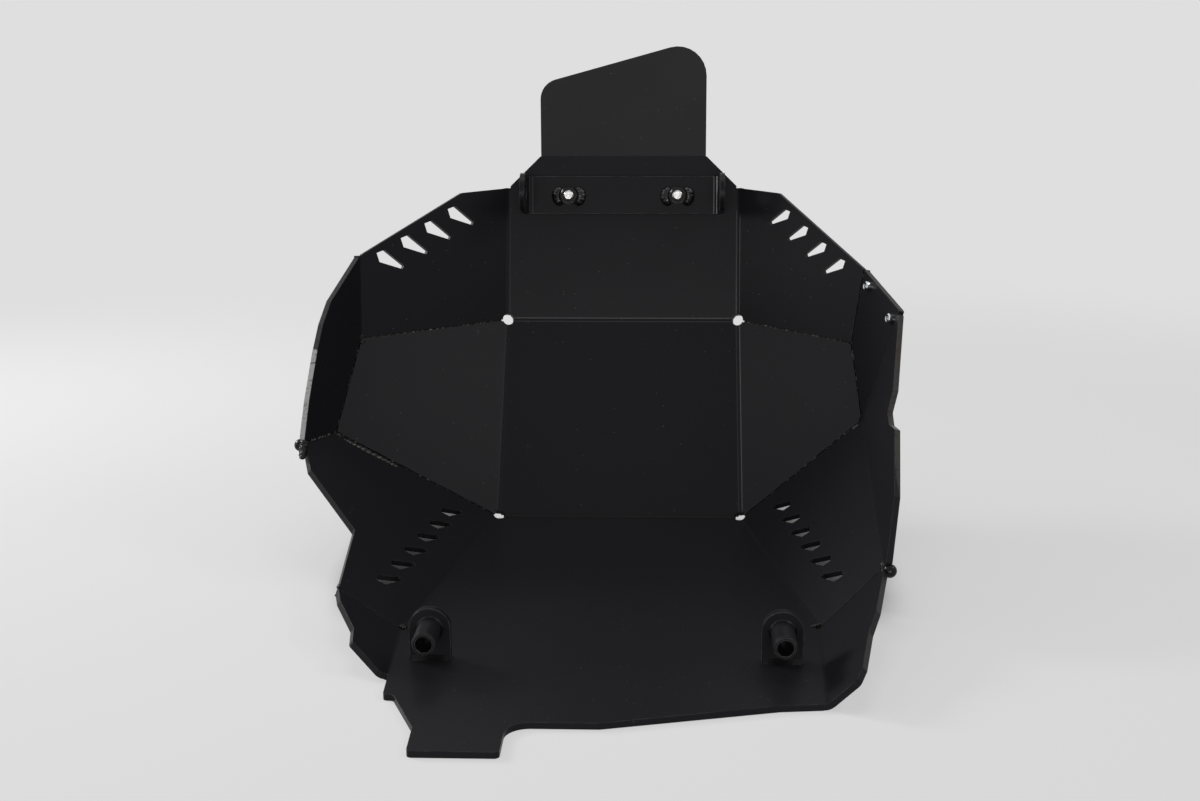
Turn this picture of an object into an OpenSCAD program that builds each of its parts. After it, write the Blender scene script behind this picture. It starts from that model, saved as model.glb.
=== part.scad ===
// Motorcycle skid plate: one folded sheet with welded corners, a bolted front bracket,
// two rear mounts and a pair of rivet nuts.
// Millimetres. X runs across the motorcycle, Y runs forward and Z is up.
// The origin is on the underside of the bottom panel, on the centre line, below the rear mounts.
// Every outline is given on the inner face of the sheet, which is the face that the engine sees.

/* [Sheet] */
// Thickness of the sheet
sheet_t = 4; // [2:0.5:6]
// Inside radius of every bend
bend_r = 5; // [3:0.5:8]
// Diameter of the relief holes at the corners of the middle panel
relief_d = 9; // [8:0.5:14]
// Diameter of the small relief holes that the welder fills
small_relief_d = 5; // [4:0.5:8]
// Distance of a welded edge from the corner line
root_gap = 0.6; // [0.3:0.1:1.2]

/* [Centre strip] */
// Width between the side bends
centre_w = 185; // [160:1:220]
// Distance from the rear mounts forward to the first cross bend
first_bend_y = 284; // [250:1:310]
// Length of the middle panel between its cross bends
mid_len = 169; // [140:1:190]
// Angle of the middle panel above the bottom panel
mid_rise = 52; // [42:1:58]
// Length of the upper panel up to the tab's bend
upper_len = 132; // [125:1:150]
// Further turn of the upper panel at the second cross bend
upper_turn = 25; // [18:1:32]
// Length of the bends that carry the front wings
wing_bend_len = 106; // [100:1:115]

/* [Tab] */
// Width of the tab above the upper panel
tab_w = 132.5; // [110:0.5:150]
// Further turn of the tab
tab_turn = 12; // [5:1:20]
// Height of the tab's left edge
tab_left_h = 57; // [45:1:70]
// Height of the tab's right edge
tab_right_h = 93; // [75:1:110]
// Radius of the tab's left corner
tab_left_r = 16; // [8:1:20]
// Radius of the tab's right corner
tab_right_r = 23; // [10:1:30]

/* [Bottom panel] */
// Left rear-wing bend: distance of its rear end from the centre line
left_vee_x = 131.5; // [120:0.5:145]
// Left rear-wing bend: distance of its rear end behind the first cross bend
left_vee_back = 235; // [215:1:250]
// Right rear-wing bend: distance of its rear end from the centre line
right_vee_x = 133.5; // [120:0.5:145]
// Right rear-wing bend: distance of its rear end behind the first cross bend
right_vee_back = 226; // [215:1:250]
// Length of the left lower bend
left_lower_len = 73; // [60:1:85]
// Length of the right lower bend
right_lower_len = 117; // [105:1:125]
// Distance of both lower bends' rear ends from the centre line
lower_end_x = 128; // [120:1:135]
// Distance of the straight rear edge behind the rear mounts
rear_edge_back = 88; // [82:1:100]
// Distance of the right end of the rear edge behind the rear mounts
rear_right_back = 62; // [60:1:75]
// Distance of the rear tab's end behind the rear mounts
rear_tab_back = 126; // [110:1:140]
// Width of the rear tab
rear_tab_w = 50; // [35:1:60]
// Distance of the rear tab's left corner from the centre line
rear_tab_x = 102; // [95:1:108]

/* [Side panels] */
// Upward turn of both side panels from the middle panel
side_turn = 30; // [20:1:40]
// Left front corner: distance along the bend from the first cross bend
left_front_along = 121.5; // [110:0.5:135]
// Left front corner: distance out from the bend
left_front_out = 122; // [105:0.5:135]
// Left rear corner: distance along the bend from the first cross bend
left_rear_along = 41; // [30:0.5:55]
// Left rear corner: distance out from the bend
left_rear_out = 135; // [120:0.5:145]
// Right front corner: distance along the bend from the first cross bend
right_front_along = 125; // [110:0.5:135]
// Right front corner: distance out from the bend
right_front_out = 97; // [85:0.5:110]
// Right rear corner: distance along the bend from the first cross bend
right_rear_along = 60; // [50:0.5:70]
// Right rear corner: distance out from the bend
right_rear_out = 103; // [90:0.5:115]

/* [Front wings] */
// Height of the rim's inner corner along the wing bend
rim_inner_up = 99.5; // [92:0.5:104]
// Left rim's inner corner: distance out from the bend
left_rim_inner_out = 42.5; // [30:0.5:55]
// Left rim's outer corner: distance up along the bend
left_rim_outer_up = 46; // [38:0.5:55]
// Left rim's outer corner: distance out from the bend
left_rim_outer_out = 131; // [120:0.5:140]
// Right rim's inner corner: distance out from the bend
right_rim_inner_out = 38; // [28:0.5:50]
// Right rim's outer corner: distance up along the bend
right_rim_outer_up = 36.5; // [30:0.5:45]
// Right rim's outer corner: distance out from the bend
right_rim_outer_out = 115.5; // [105:0.5:125]

/* [Left wall and rear wing] */
// Length of the weld between the wall and the rear wing
wall_weld_len = 47; // [40:1:60]
// Rear wing's rim: distance of its front corner along the bend
left_rim_front_along = 125; // [115:1:135]
// Rear wing's rim: distance of its front corner out from the bend
left_rim_front_out = 121.5; // [112:0.5:128]
// Rear wing's rim: distance of its waist along the bend
left_waist_along = 161.5; // [150:0.5:175]
// Rear wing's rim: distance of its waist out from the bend
left_waist_out = 68; // [58:0.5:78]
// Rear wing's rear corner: distance along the bend
left_tail_along = 243; // [236:1:250]
// Rear wing's rear corner: distance out from the bend
left_tail_out = 46.5; // [40:0.5:55]

/* [Right wall] */
// Height of the wall's peak along its front edge
peak_up = 34; // [25:1:45]
// Distance of the wall's peak behind its front edge
peak_back = 65.5; // [55:0.5:75]
// Rear wing's rear corner: distance along the bend
right_tail_along = 227; // [218:1:236]
// Rear wing's rear corner: distance out from the bend
right_tail_out = 56; // [48:0.5:64]
// Depth of the notch in the wall's rim
notch_depth = 14.5; // [6:0.5:20]
// Length of the notch's floor
notch_len = 18; // [12:1:35]

/* [Vents] */
// Left vent's length
left_vent_len = 25; // [18:0.5:28]
// Left vent's width
left_vent_w = 10.5; // [7:0.5:12]
// Right vent's length
right_vent_len = 20.5; // [16:0.5:26]
// Right vent's width
right_vent_w = 8.5; // [6:0.5:11]
// Width of a vent's blunt tip
vent_tip_w = 3; // [2:0.5:4]
// Vents in each front wing
front_vents = 4; // [2:1:4]
// Spacing of the left front wing's vents
left_vent_pitch = 24; // [20:0.5:26]
// Spacing of the right front wing's vents
right_vent_pitch = 21.5; // [18:0.5:24]
// Rear vents' length
rear_vent_len = 24; // [18:0.5:26]
// Rear vents' width
rear_vent_w = 9.5; // [6:0.5:11]
// Vents in each rear wing
rear_vents = 6; // [3:1:6]
// Spacing of the rear wings' vents
rear_vent_pitch = 29.5; // [25:0.5:31]

/* [Front bracket] */
// Overall width over the bracket's ears
bracket_w = 161; // [140:1:170]
// Thickness of the bracket
bracket_t = 4; // [3:0.5:5]
// Length of the bracket along the upper panel
bracket_len = 30; // [24:1:36]
// Distance of the bracket's lower edge above the second cross bend
bracket_up = 85; // [80:1:92]
// Height of the ears' bores above the upper panel
ear_bore_h = 25; // [20:1:32]
// Diameter of the ears' bores
ear_bore_d = 10.5; // [8:0.5:12]
// Distance between the two bracket bolts
bolt_pitch = 87; // [70:1:100]
// Diameter of the bracket bolts
bolt_d = 8; // [6:1:10]

/* [Rear mounts] */
// Distance between the two rear mounts' bores
rear_pitch = 212; // [200:1:220]
// Height of the bores above the bottom panel's inner face
rear_bore_h = 20; // [16:1:26]
// Bore of the mount tubes
rear_bore_d = 10; // [8:0.5:11]
// Outside diameter of the mount tubes
tube_d = 14.5; // [13:0.5:18]
// Length of the mount tubes behind their plates
tube_len = 26.5; // [20:0.5:35]
// Width of the upright plates
upright_w = 25; // [22:1:32]
// Thickness of the upright plates
upright_t = 5; // [4:0.5:8]

/* [Rivet nuts] */
// Distance of the front rivet nut behind the right rim's outer corner
rivet_front_back = 16.5; // [10:0.5:25]
// Distance of the front rivet nut below the rim
rivet_front_down = 6.3; // [5:0.1:12]
// Distance of the rear rivet nut ahead of the wall's peak
rivet_rear_ahead = 5.5; // [4:0.5:20]
// Distance of the rear rivet nut below the rim
rivet_rear_down = 9.9; // [6:0.1:14]
// Core diameter of the rivet nuts' thread
rivet_core_d = 4.2; // [3.3:0.1:5]
// Diameter of the rivet nuts' body
rivet_body_d = 6; // [5.5:0.5:8]
// Length of the rivet nuts inside the wall
rivet_len = 4; // [3:0.5:8]

/* [Hidden] */
$fn = 48;

LEFT = 0;
RIGHT = 1;
side_sign = [-1, 1];
black = [0.07, 0.07, 0.08];
weld_black = [0.1, 0.1, 0.11];
steel = [0.6, 0.6, 0.62];
zinc = [0.78, 0.79, 0.8];

// Free space around parts that touch without being pressed together
fit = 0.05;
// How far a bend's faces lie inside the sheet's faces, and how far it laps into both panels
skin = 0.02;
lap_angle = 3;
// How far a cut runs past the faces that it goes through
over = 1;
// Points on a rounded corner
corner_steps = 8;

// Vector helpers
function unit(v) = v / norm(v);
function perp(v) = [-v.y, v.x];
function cross2(a, b) = a.x * b.y - a.y * b.x;

// A plane is [origin, along, across, normal]: it runs from o towards a, and across points towards c
function plane(o, a, c) =
    let (along = unit(a - o), off = (c - o) - ((c - o) * along) * along, across = unit(off))
    [o, along, across, cross(along, across)];
function matrix(p) = [
    [p[1].x, p[2].x, p[3].x, p[0].x],
    [p[1].y, p[2].y, p[3].y, p[0].y],
    [p[1].z, p[2].z, p[3].z, p[0].z],
    [0, 0, 0, 1]];
function at(p, x, y) = p[0] + x * p[1] + y * p[2];
function on(p, q) = [(q - p[0]) * p[1], (q - p[0]) * p[2]];

// The cradle's middle tells the inner side of each panel from its outer side
cradle = [0, first_bend_y * 0.6, 330];
function inward(p) = p[3] * sign(p[3] * (cradle - p[0]));
function turn(m, n) = acos(min(1, m * n));
function bend_room(m, n) = bend_r * tan(turn(m, n) / 2);

// Corners of the centre strip, [left, right]
mid_dir = [0, cos(mid_rise), sin(mid_rise)];
upper_rise = mid_rise + upper_turn;
upper_dir = [0, cos(upper_rise), sin(upper_rise)];
tab_rise = upper_rise + tab_turn;
tab_dir = [0, cos(tab_rise), sin(tab_rise)];
floor_corner = [for (s = side_sign) [s * centre_w / 2, first_bend_y, sheet_t]];
knee_corner = [for (c = floor_corner) c + mid_len * mid_dir];
wing_top = [for (c = knee_corner) c + wing_bend_len * upper_dir];
tab_root = [for (s = side_sign)
    (knee_corner[LEFT] + knee_corner[RIGHT]) / 2 + upper_len * upper_dir + [s * tab_w / 2, 0, 0]];

// Planes of the centre strip, with X along them
right_x = [1, 0, 0];
floor_plane = [[0, 0, sheet_t], right_x, [0, 1, 0], [0, 0, 1]];
mid_plane = [(floor_corner[LEFT] + floor_corner[RIGHT]) / 2, right_x, mid_dir, cross(right_x, mid_dir)];
upper_plane = [(knee_corner[LEFT] + knee_corner[RIGHT]) / 2, right_x, upper_dir, cross(right_x, upper_dir)];
tab_plane = [(tab_root[LEFT] + tab_root[RIGHT]) / 2, right_x, tab_dir, cross(right_x, tab_dir)];

// Side panels
side_out = [for (s = side_sign) cos(side_turn) * s * right_x + sin(side_turn) * mid_plane[3]];
front_corner = [
    floor_corner[LEFT] + left_front_along * mid_dir + left_front_out * side_out[LEFT],
    floor_corner[RIGHT] + right_front_along * mid_dir + right_front_out * side_out[RIGHT]];
rear_corner = [
    floor_corner[LEFT] + left_rear_along * mid_dir + left_rear_out * side_out[LEFT],
    floor_corner[RIGHT] + right_rear_along * mid_dir + right_rear_out * side_out[RIGHT]];
side_plane = [for (k = [LEFT, RIGHT]) plane(floor_corner[k], knee_corner[k], front_corner[k])];

// Front wings
front_plane = [for (k = [LEFT, RIGHT]) plane(knee_corner[k], wing_top[k], front_corner[k])];
rim_inner = [
    at(front_plane[LEFT], rim_inner_up, left_rim_inner_out),
    at(front_plane[RIGHT], rim_inner_up, right_rim_inner_out)];
rim_outer = [
    at(front_plane[LEFT], left_rim_outer_up, left_rim_outer_out),
    at(front_plane[RIGHT], right_rim_outer_up, right_rim_outer_out)];

// Rear wings
vee = [
    [-left_vee_x, first_bend_y - left_vee_back, sheet_t],
    [right_vee_x, first_bend_y - right_vee_back, sheet_t]];
rear_plane = [for (k = [LEFT, RIGHT]) plane(floor_corner[k], vee[k], rear_corner[k])];
tail = [
    at(rear_plane[LEFT], left_tail_along, left_tail_out),
    at(rear_plane[RIGHT], right_tail_along, right_tail_out)];

// Outer walls: the left one is bent up from the front wing, the right one from the rear wing
wall_plane = [for (k = [LEFT, RIGHT]) plane(front_corner[k], rim_outer[k], rear_corner[k])];
seam_dir = unit(cross(inward(wall_plane[LEFT]), inward(rear_plane[LEFT])));
wall_tail = rear_corner[LEFT] + wall_weld_len * seam_dir * sign(-seam_dir.y);
peak = at(wall_plane[RIGHT], peak_up, peak_back);
wall_rear_plane = plane(rear_corner[RIGHT], tail[RIGHT], peak);

// Lower side panels
lower_end = [
    [-lower_end_x, vee[LEFT].y - left_lower_len, sheet_t],
    [lower_end_x, vee[RIGHT].y - right_lower_len, sheet_t]];
lower_plane = [for (k = [LEFT, RIGHT]) plane(vee[k], lower_end[k], tail[k])];

// Outlines are lists of [point, set-back of the edge that starts there, corner radius]
// Where two edges run on in nearly the same direction, a change of set-back makes a small step
straight_on = 0.1;
function set_back(o, i) =
    let (n = len(o), p = o[i][0], a = unit(p - o[(i + n - 1) % n][0]), b = unit(o[(i + 1) % n][0] - p),
         s0 = o[(i + n - 1) % n][1], s1 = o[i][1], w = winding(o), na = w * perp(a), nb = w * perp(b),
         c = cross2(na, nb))
    abs(c) < straight_on ? [p + na * s0, p + nb * s1] :
    [p + [(s0 * nb.y - s1 * na.y) / c, (s1 * na.x - s0 * nb.x) / c]];
function area(o, i = 0) = i == len(o) ? 0 : cross2(o[i][0], o[(i + 1) % len(o)][0]) + area(o, i + 1);
function winding(o) = sign(area(o));
function rounded(a, p, b, r) =
    let (u = unit(a - p), v = unit(b - p), half = acos(u * v) / 2, c = p + unit(u + v) * r / sin(half),
         from = p + u * r / tan(half) - c, sweep = 2 * (90 - half) * sign(cross2(v, u)))
    [for (i = [0:corner_steps]) let (t = i * sweep / corner_steps)
        c + [from.x * cos(t) - from.y * sin(t), from.x * sin(t) + from.y * cos(t)]];
function outline(o) =
    let (q = [for (i = [0:len(o) - 1]) set_back(o, i)], n = len(o))
    [for (i = [0:n - 1]) let (before = q[(i + n - 1) % n], after = q[(i + 1) % n]) each
        (o[i][2] > 0 ? rounded(before[len(before) - 1], q[i][0], after[0], o[i][2]) : q[i])];

// Radius of a plain cut corner, of a corner in a wing's rim and of a softened one
cut_r = 3;
rim_r = 4;
soft_r = 6;

// A flat panel of sheet behind the inner face of its plane
module panel(p, o) {
    inner_up = p[3] * inward(p) > 0;
    multmatrix(matrix(p))
        translate([0, 0, inner_up ? -sheet_t : 0])
            linear_extrude(sheet_t)
                polygon(outline(o));
}

// A corner frame runs from p to q, with X pointing out of the sheet between both panels
function corner_matrix(p, q, m, n) =
    let (z = unit(q - p), x = -unit(m + n), y = cross(z, x))
    matrix([p, x, y, z]);

// A true bend between two panels with inner normals m and n
module bend(p, q, m, n, from, to) {
    angle = turn(m, n);
    multmatrix(corner_matrix(p, q, m, n))
        translate([-bend_r / cos(angle / 2), 0, from])
            rotate([0, 0, -angle / 2 - lap_angle])
                rotate_extrude(angle = angle + 2 * lap_angle)
                    translate([bend_r + skin, 0])
                        square([sheet_t - 2 * skin, norm(q - p) - from - to]);
}

// A weld bead that fills the groove between two panels and stands a little proud outside
bead_root = 1.2;
bead_toe = 1.6;
bead_crown = 1;
module bead(p, q, m, n, from, to) {
    half = turn(m, n) / 2;
    out = [cos(half), sin(half)];
    away = [-sin(half), cos(half)];
    wall = root_gap - fit;
    deep = away * wall + out * bead_root;
    lip = away * wall + out * (sheet_t + fit);
    toe = away * (root_gap + bead_toe) + out * (sheet_t + fit);
    top = toe.x + bead_crown + toe.y * sin(half) / 2;
    cap = [for (i = [1:corner_steps - 1]) let (a = 180 * i / corner_steps)
        [toe.x + (top - toe.x) * sin(a), toe.y * cos(a)]];
    multmatrix(corner_matrix(p, q, m, n))
        translate([0, 0, from])
            linear_extrude(norm(q - p) - from - to)
                polygon(concat([deep, lip, toe], cap,
                    [[toe.x, -toe.y], [lip.x, -lip.y], [deep.x, -deep.y]]));
}

// A round hole or plug square to the mean of some inner normals
module through(p, normals, d, below, above) {
    z = unit([for (i = [0:2]) [for (n = normals) n[i]] * [for (n = normals) 1]]);
    x = unit(cross([0, 1, 0], z));
    multmatrix(matrix([p, x, cross(z, x), z]))
        translate([0, 0, -below])
            cylinder(d = d, h = below + above);
}

// Inner normals of every panel
mid_in = inward(mid_plane);
upper_in = inward(upper_plane);
tab_in = inward(tab_plane);
floor_in = inward(floor_plane);
side_in = [for (p = side_plane) inward(p)];
front_in = [for (p = front_plane) inward(p)];
rear_in = [for (p = rear_plane) inward(p)];
wall_in = [for (p = wall_plane) inward(p)];
wall_rear_in = inward(wall_rear_plane);
lower_in = [for (p = lower_plane) inward(p)];

// How near to a drilled corner a bend starts, inside the hole that is drilled there
hole_start = relief_d / 2 - 1;
small_start = small_relief_d / 2 - 0.5;

// Bottom panel: its rear edge has a small lug on the left, a tab and a long slanting run
lug_in = 1.5;
lug_len = 28.5;
lug_w = 6;
tab_flank = [1, 30];
tab_neck_r = 14;
rear_slant_x = 101;
module bottom_panel() {
    l = lower_end[LEFT];
    r = lower_end[RIGHT];
    tab_right = rear_tab_w - rear_tab_x;
    panel(floor_plane, [
        [on(floor_plane, floor_corner[RIGHT]), bend_room(floor_in, mid_in), 0],
        [on(floor_plane, floor_corner[LEFT]), bend_room(floor_in, rear_in[LEFT]), 0],
        [on(floor_plane, vee[LEFT]), bend_room(floor_in, lower_in[LEFT]), 0],
        [[l.x, l.y], 0, 0],
        [[l.x + lug_in, l.y - lug_len], 0, cut_r],
        [[l.x + lug_in + lug_w, l.y - lug_len], 0, cut_r],
        [[-rear_tab_x - tab_flank.x, tab_flank.y - rear_tab_back], 0, soft_r],
        [[-rear_tab_x, -rear_tab_back], 0, cut_r],
        [[tab_right, -rear_tab_back], 0, cut_r],
        [[tab_right, -rear_edge_back], 0, tab_neck_r],
        [[0, -rear_edge_back], 0, 0],
        [[rear_slant_x, -rear_right_back], 0, 0],
        [[r.x, r.y], bend_room(floor_in, lower_in[RIGHT]), 0],
        [on(floor_plane, vee[RIGHT]), bend_room(floor_in, rear_in[RIGHT]), 0]]);
}

module middle_panel() {
    room = bend_room(mid_in, side_in[LEFT]);
    panel(mid_plane, [
        [on(mid_plane, floor_corner[LEFT]), bend_room(floor_in, mid_in), 0],
        [on(mid_plane, floor_corner[RIGHT]), room, 0],
        [on(mid_plane, knee_corner[RIGHT]), bend_room(mid_in, upper_in), 0],
        [on(mid_plane, knee_corner[LEFT]), room, 0]]);
}

module upper_panel() {
    panel(upper_plane, [
        [on(upper_plane, knee_corner[LEFT]), bend_room(mid_in, upper_in), 0],
        [on(upper_plane, knee_corner[RIGHT]), bend_room(upper_in, front_in[RIGHT]), 0],
        [on(upper_plane, wing_top[RIGHT]), 0, 0],
        [on(upper_plane, tab_root[RIGHT]), bend_room(upper_in, tab_in), 0],
        [on(upper_plane, tab_root[LEFT]), 0, 0],
        [on(upper_plane, wing_top[LEFT]), bend_room(upper_in, front_in[LEFT]), 0]]);
}

module top_tab() {
    panel(tab_plane, [
        [[-tab_w / 2, 0], bend_room(upper_in, tab_in), 0],
        [[tab_w / 2, 0], 0, 0],
        [[tab_w / 2, tab_right_h], 0, tab_right_r],
        [[-tab_w / 2, tab_left_h], 0, tab_left_r]]);
}

module side_panel(k) {
    p = side_plane[k];
    panel(p, [
        [on(p, floor_corner[k]), bend_room(mid_in, side_in[k]), 0],
        [on(p, knee_corner[k]), root_gap, 0],
        [on(p, front_corner[k]), root_gap, 0],
        [on(p, rear_corner[k]), root_gap, 0]]);
}

module front_wing(k) {
    p = front_plane[k];
    wall_edge = k == LEFT ? bend_room(front_in[k], wall_in[k]) : root_gap;
    panel(p, [
        [on(p, knee_corner[k]), bend_room(upper_in, front_in[k]), 0],
        [on(p, wing_top[k]), 0, 0],
        [on(p, rim_inner[k]), 0, cut_r],
        [on(p, rim_outer[k]), wall_edge, 0],
        [on(p, front_corner[k]), root_gap, 0]]);
}

module left_rear_wing() {
    p = rear_plane[LEFT];
    panel(p, [
        [on(p, floor_corner[LEFT]), bend_room(floor_in, rear_in[LEFT]), 0],
        [on(p, vee[LEFT]), root_gap, 0],
        [on(p, tail[LEFT]), 0, 0],
        [[left_waist_along, left_waist_out], 0, rim_r],
        [[left_rim_front_along, left_rim_front_out], 0, cut_r],
        [on(p, wall_tail), root_gap, 0],
        [on(p, rear_corner[LEFT]), root_gap, 0]]);
}

module right_rear_wing() {
    p = rear_plane[RIGHT];
    panel(p, [
        [on(p, floor_corner[RIGHT]), bend_room(floor_in, rear_in[RIGHT]), 0],
        [on(p, vee[RIGHT]), root_gap, 0],
        [on(p, tail[RIGHT]), bend_room(rear_in[RIGHT], wall_rear_in), 0],
        [on(p, rear_corner[RIGHT]), root_gap, 0]]);
}

// The left wall's rim falls in four straight runs
left_rim_heights = [[27, 47.5], [9.5, 60.5], [-10.5, 70], [-45, 83]];
wall_tip = [2, 1.5];
module left_wall() {
    p = wall_plane[LEFT];
    panel(p, concat(
        [[on(p, front_corner[LEFT]), bend_room(front_in[LEFT], wall_in[LEFT]), 0],
         [on(p, rim_outer[LEFT]), 0, 0]],
        [for (q = left_rim_heights) [q, 0, soft_r]],
        [[on(p, wall_tail) + wall_tip, 0, 0],
         [on(p, wall_tail), root_gap, 0],
         [on(p, rear_corner[LEFT]), root_gap, 0]]));
}

module right_wall_front() {
    p = wall_plane[RIGHT];
    panel(p, [
        [on(p, front_corner[RIGHT]), root_gap, 0],
        [on(p, rim_outer[RIGHT]), 0, 0],
        [on(p, peak), bend_room(wall_in[RIGHT], wall_rear_in), 0],
        [on(p, rear_corner[RIGHT]), root_gap, 0]]);
}

// The right wall's rear rim: a falling run, the notch, a second run and a slanting end
notch_start = [68.5, 57.5];
notch_slope = 6;
notch_fall = 1;
notch_r = 2;
ramp_len = 21.5;
ramp_rise = 6;
slant_len = 38;
slant_share = 0.64;
slant_tip = [1, 4.5];
module right_wall_rear() {
    p = wall_rear_plane;
    end = on(p, tail[RIGHT]);
    floor_start = notch_start + [notch_slope, -notch_depth];
    floor_end = floor_start + [notch_len, -notch_fall];
    ramp = floor_end + [ramp_len, ramp_rise + notch_fall];
    panel(p, [
        [on(p, rear_corner[RIGHT]), bend_room(wall_in[RIGHT], wall_rear_in), 0],
        [on(p, peak), 0, cut_r],
        [notch_start, 0, notch_r],
        [floor_start, 0, cut_r],
        [floor_end, 0, cut_r],
        [ramp, 0, cut_r],
        [[end.x - slant_len, ramp.y * slant_share], 0, cut_r],
        [end + slant_tip, 0, 0],
        [end, bend_room(rear_in[RIGHT], wall_rear_in), 0]]);
}

// Rims of the lower side panels, from the rear bend end round to the rear wing's corner
left_lower_rim = [[75, 5], [57, 27], [38, 29], [11.5, 43]];
right_lower_rim = [[117, 21.5], [106, 27], [66, 35], [44, 43]];
module lower_panel(k) {
    p = lower_plane[k];
    rim = k == LEFT ? left_lower_rim : right_lower_rim;
    panel(p, concat(
        [[[0, 0], bend_room(floor_in, lower_in[k]), 0],
         [on(p, lower_end[k]), 0, 0]],
        [for (q = rim) [q, 0, rim_r]],
        [[on(p, tail[k]), root_gap, 0]]));
}

// A vent is a kite with a blunt tip: its head is at the origin and its tip points along Y
vent_head_share = 0.2;
module vent(length, w) {
    head = length * vent_head_share;
    translate([0, 0, -sheet_t - over])
        linear_extrude(2 * (sheet_t + over))
            polygon([[0, 0], [w / 2, head], [vent_tip_w / 2, length],
                [-vent_tip_w / 2, length], [-w / 2, head]]);
}

// A row of vents from point p towards q, leaning by an angle from square
module vent_row(p, q, c, count, pitch, start, inset, lean, length, w) {
    row = plane(p, q, c);
    multmatrix(matrix(row))
        for (i = [0:count - 1])
            translate([start + i * pitch, inset, 0])
                rotate([0, 0, lean])
                    vent(length, w);
}

vent_len = [left_vent_len, right_vent_len];
vent_w = [left_vent_w, right_vent_w];
front_vent_pitch = [left_vent_pitch, right_vent_pitch];
front_vent_lean = [35, 28];
front_vent_start = 18;
rim_land = 5;
rear_vent_lean = 62;
rear_vent_start = [55, 48];
rear_vent_land = [34.8, 36.6];
rear_vent_end_land = [33, 31];
module vents() {
    for (k = [LEFT, RIGHT]) {
        vent_row(rim_inner[k], rim_outer[k], knee_corner[k], front_vents, front_vent_pitch[k],
            front_vent_start, rim_land, front_vent_lean[k], vent_len[k], vent_w[k]);
        vent_row(floor_corner[k] + rear_vent_land[k] * rear_plane[k][2],
            vee[k] + rear_vent_end_land[k] * rear_plane[k][2], floor_corner[k], rear_vents,
            rear_vent_pitch, rear_vent_start[k], 0, rear_vent_lean, rear_vent_len, rear_vent_w);
    }
}

// A bend stops this far from the free edge of its panels
edge_step = 0.06;
module bends() {
    bend(floor_corner[LEFT], floor_corner[RIGHT], floor_in, mid_in, hole_start, hole_start);
    bend(knee_corner[LEFT], knee_corner[RIGHT], mid_in, upper_in, hole_start, hole_start);
    bend(tab_root[LEFT], tab_root[RIGHT], upper_in, tab_in, edge_step, edge_step);
    for (k = [LEFT, RIGHT]) {
        bend(floor_corner[k], knee_corner[k], mid_in, side_in[k], hole_start, hole_start);
        bend(knee_corner[k], wing_top[k], upper_in, front_in[k], hole_start, edge_step);
        bend(floor_corner[k], vee[k], floor_in, rear_in[k], hole_start, small_start);
        bend(vee[k], lower_end[k], floor_in, lower_in[k], small_start, edge_step);
    }
    bend(front_corner[LEFT], rim_outer[LEFT], front_in[LEFT], wall_in[LEFT], small_start, edge_step);
    bend(rear_corner[RIGHT], tail[RIGHT], rear_in[RIGHT], wall_rear_in, small_start, edge_step);
    bend(rear_corner[RIGHT], peak, wall_in[RIGHT], wall_rear_in, small_start, edge_step);
}

// How far a drill for the relief holes reaches on either side of the corner
drill_reach = 12;
module relief_holes() {
    for (k = [LEFT, RIGHT]) {
        through(knee_corner[k], [mid_in, upper_in, side_in[k], front_in[k]],
            relief_d, drill_reach, drill_reach);
        through(floor_corner[k], [mid_in, floor_in, side_in[k], rear_in[k]],
            relief_d, drill_reach, drill_reach);
        vee_hole(k, small_relief_d, drill_reach, drill_reach);
    }
    nose_hole(small_relief_d, drill_reach, drill_reach);
    heel_hole(small_relief_d, drill_reach, drill_reach);
}
module vee_hole(k, d, below, above) {
    through(vee[k], [floor_in, rear_in[k], lower_in[k]], d, below, above);
}
module nose_hole(d, below, above) {
    through(front_corner[LEFT], [side_in[LEFT], front_in[LEFT], wall_in[LEFT]], d, below, above);
}
module heel_hole(d, below, above) {
    through(rear_corner[RIGHT], [side_in[RIGHT], rear_in[RIGHT], wall_rear_in], d, below, above);
}

// Places of the bracket bolts, the rear mounts and the rivet nuts
bolt_hole_d = bolt_d + 1;
bolt_row = bracket_len / 2 - 1;
module at_bolt(k) {
    multmatrix(matrix(upper_plane))
        translate([side_sign[k] * bolt_pitch / 2, bracket_up + bolt_row, 0])
            children();
}
rim_back = unit(peak - rim_outer[RIGHT]);
rim_down = unit(cross(rim_back, inward(wall_plane[RIGHT])));
rivet_place = [
    rim_outer[RIGHT] + rivet_front_back * rim_back + rivet_front_down * rim_down,
    peak - rivet_rear_ahead * rim_back + rivet_rear_down * rim_down];
module at_rivet(i) {
    n = inward(wall_plane[RIGHT]);
    multmatrix(matrix([rivet_place[i], rim_back, cross(n, rim_back), n]))
        children();
}

module folded_plate() {
    color(black)
        difference() {
            union() {
                bottom_panel();
                middle_panel();
                upper_panel();
                top_tab();
                for (k = [LEFT, RIGHT]) {
                    side_panel(k);
                    front_wing(k);
                    lower_panel(k);
                }
                left_rear_wing();
                right_rear_wing();
                left_wall();
                right_wall_front();
                right_wall_rear();
                bends();
            }
            relief_holes();
            vents();
            for (k = [LEFT, RIGHT])
                at_bolt(k) translate([0, 0, -sheet_t - over])
                    cylinder(d = bolt_hole_d, h = sheet_t + 2 * over);
            for (i = [0, 1])
                at_rivet(i) translate([0, 0, -sheet_t - over])
                    cylinder(d = rivet_body_d + 2 * fit, h = sheet_t + 2 * over);
        }
}

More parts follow.
